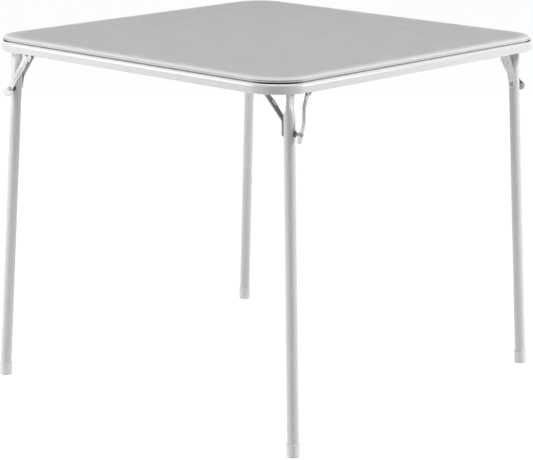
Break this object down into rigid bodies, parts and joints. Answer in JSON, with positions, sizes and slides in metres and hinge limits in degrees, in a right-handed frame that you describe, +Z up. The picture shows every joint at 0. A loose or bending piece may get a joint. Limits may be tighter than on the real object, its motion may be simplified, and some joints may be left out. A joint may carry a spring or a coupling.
{
  "type": "folding card table",
  "caption": "Square folding card table with a padded vinyl top, a metal rail frame and round tube legs that fold flat under it and lock open.",
  "frame": {"origin": "On the floor, under the middle of the top, with the legs down.", "axes": "+Z up from the floor to the top; X and Y along the sides of the top, with -Y the side at the front left of the picture."},
  "size_m": [0.8418, 0.8418, 0.711],
  "materials": {
    "vinyl": "matt grey vinyl with a fine leather grain",
    "foam": "open soft foam",
    "fibreboard": "smooth brown hardboard",
    "frame_paint": "light grey gloss baked paint",
    "zinc_plate": "bright zinc plate",
    "cap_plastic": "light grey satin plastic"
  },
  "bodies": {
    "table_top": {"vinyl_cover": "vinyl", "foam_pad": "foam", "top_board": "fibreboard", "frame_rail": "frame_paint", "frame_splice": "zinc_plate", "splice_rivets": "zinc_plate", "board_screws": "zinc_plate", "cover_staples": "zinc_plate", "bracket_rivets": "zinc_plate", "front_right_hinge_bracket": "zinc_plate", "front_right_hinge_rod": "zinc_plate", "front_right_latch_stud": "zinc_plate", "back_right_hinge_bracket": "zinc_plate", "back_right_hinge_rod": "zinc_plate", "back_right_latch_stud": "zinc_plate", "back_left_hinge_bracket": "zinc_plate", "back_left_hinge_rod": "zinc_plate", "back_left_latch_stud": "zinc_plate", "front_left_hinge_bracket": "zinc_plate", "front_left_hinge_rod": "zinc_plate", "front_left_latch_stud": "zinc_plate"},
    "front_right_leg": {"front_right_leg_tube": "frame_paint", "front_right_foot_cap": "cap_plastic", "front_right_side_strut": "zinc_plate", "front_right_lever_pin": "zinc_plate", "front_right_lever_washers": "zinc_plate"},
    "front_right_lock": {"front_right_lock_lever": "zinc_plate"},
    "back_right_leg": {"back_right_leg_tube": "frame_paint", "back_right_foot_cap": "cap_plastic", "back_right_side_strut": "zinc_plate", "back_right_lever_pin": "zinc_plate", "back_right_lever_washers": "zinc_plate"},
    "back_right_lock": {"back_right_lock_lever": "zinc_plate"},
    "back_left_leg": {"back_left_leg_tube": "frame_paint", "back_left_foot_cap": "cap_plastic", "back_left_side_strut": "zinc_plate", "back_left_lever_pin": "zinc_plate", "back_left_lever_washers": "zinc_plate"},
    "back_left_lock": {"back_left_lock_lever": "zinc_plate"},
    "front_left_leg": {"front_left_leg_tube": "frame_paint", "front_left_foot_cap": "cap_plastic", "front_left_side_strut": "zinc_plate", "front_left_lever_pin": "zinc_plate", "front_left_lever_washers": "zinc_plate"},
    "front_left_lock": {"front_left_lock_lever": "zinc_plate"}
  },
  "joints": [
    {"name": "front_right_fold", "type": "hinge", "parent": "table_top", "child": "front_right_leg", "pos_m": [0.37227, -0.34469, 0.683], "axis": [0.9613, 0.2756, 0], "range_deg": [0, 92.4]},
    {"name": "front_right_latch", "type": "hinge", "parent": "front_right_leg", "child": "front_right_lock", "pos_m": [0.37318, -0.34787, 0.60614], "axis": [-0.9613, -0.2756, 0], "range_deg": [0, 153.3]},
    {"name": "back_right_fold", "type": "hinge", "parent": "table_top", "child": "back_right_leg", "pos_m": [0.34469, 0.37227, 0.683], "axis": [-0.2756, 0.9613, 0], "range_deg": [0, 92.4]},
    {"name": "back_right_latch", "type": "hinge", "parent": "back_right_leg", "child": "back_right_lock", "pos_m": [0.34787, 0.37318, 0.60614], "axis": [0.2756, -0.9613, 0], "range_deg": [0, 153.3]},
    {"name": "back_left_fold", "type": "hinge", "parent": "table_top", "child": "back_left_leg", "pos_m": [-0.37227, 0.34469, 0.683], "axis": [-0.9613, -0.2756, 0], "range_deg": [0, 92.4]},
    {"name": "back_left_latch", "type": "hinge", "parent": "back_left_leg", "child": "back_left_lock", "pos_m": [-0.37318, 0.34787, 0.60614], "axis": [0.9613, 0.2756, 0], "range_deg": [0, 153.3]},
    {"name": "front_left_fold", "type": "hinge", "parent": "table_top", "child": "front_left_leg", "pos_m": [-0.34469, -0.37227, 0.683], "axis": [0.2756, -0.9613, 0], "range_deg": [0, 92.4]},
    {"name": "front_left_latch", "type": "hinge", "parent": "front_left_leg", "child": "front_left_lock", "pos_m": [-0.34787, -0.37318, 0.60614], "axis": [-0.2756, 0.9613, 0], "range_deg": [0, 153.3]}
  ],
  "couplings": [
    {"joint": "front_right_latch", "follows": "front_right_fold", "ratio": 1.659},
    {"joint": "back_right_latch", "follows": "back_right_fold", "ratio": 1.659},
    {"joint": "back_left_latch", "follows": "back_left_fold", "ratio": 1.659},
    {"joint": "front_left_latch", "follows": "front_left_fold", "ratio": 1.659}
  ]
}
